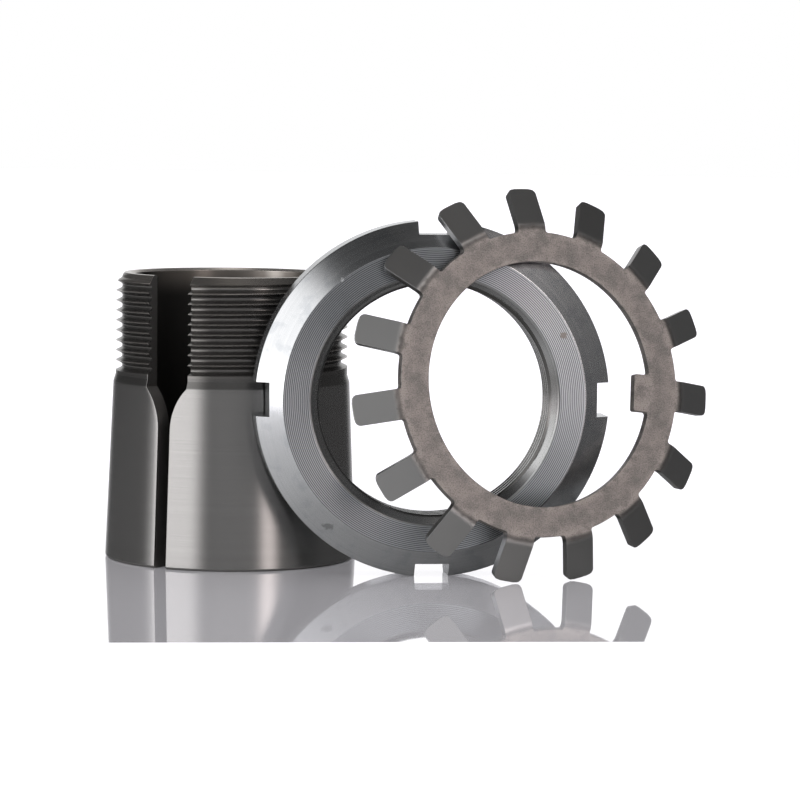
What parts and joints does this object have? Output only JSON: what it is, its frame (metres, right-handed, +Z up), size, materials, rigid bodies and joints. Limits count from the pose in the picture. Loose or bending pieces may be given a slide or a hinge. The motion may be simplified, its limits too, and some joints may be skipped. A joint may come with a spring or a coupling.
{
  "type": "bearing adapter sleeve",
  "caption": "Slotted tapered sleeve with a threaded end, with its slotted lock nut and tabbed lock washer, laid out apart as a set.",
  "frame": {"origin": "on the sleeve's axis, in the plane of its large end, which stands on the table", "axes": "+Z up along the sleeve's bore towards its threaded end, +X to the right of the set seen from the front, -Y towards the viewer"},
  "size_m": [0.0899, 0.0525, 0.0566],
  "materials": {
    "sleeve_steel": "dark, finely turned and ground",
    "nut_steel": "bright turned faces with fine concentric marks",
    "washer_steel": "matte pressed sheet"
  },
  "bodies": {
    "root": {"sleeve": "sleeve_steel", "lock_nut": "nut_steel", "lock_washer": "washer_steel"}
  },
  "joints": []
}
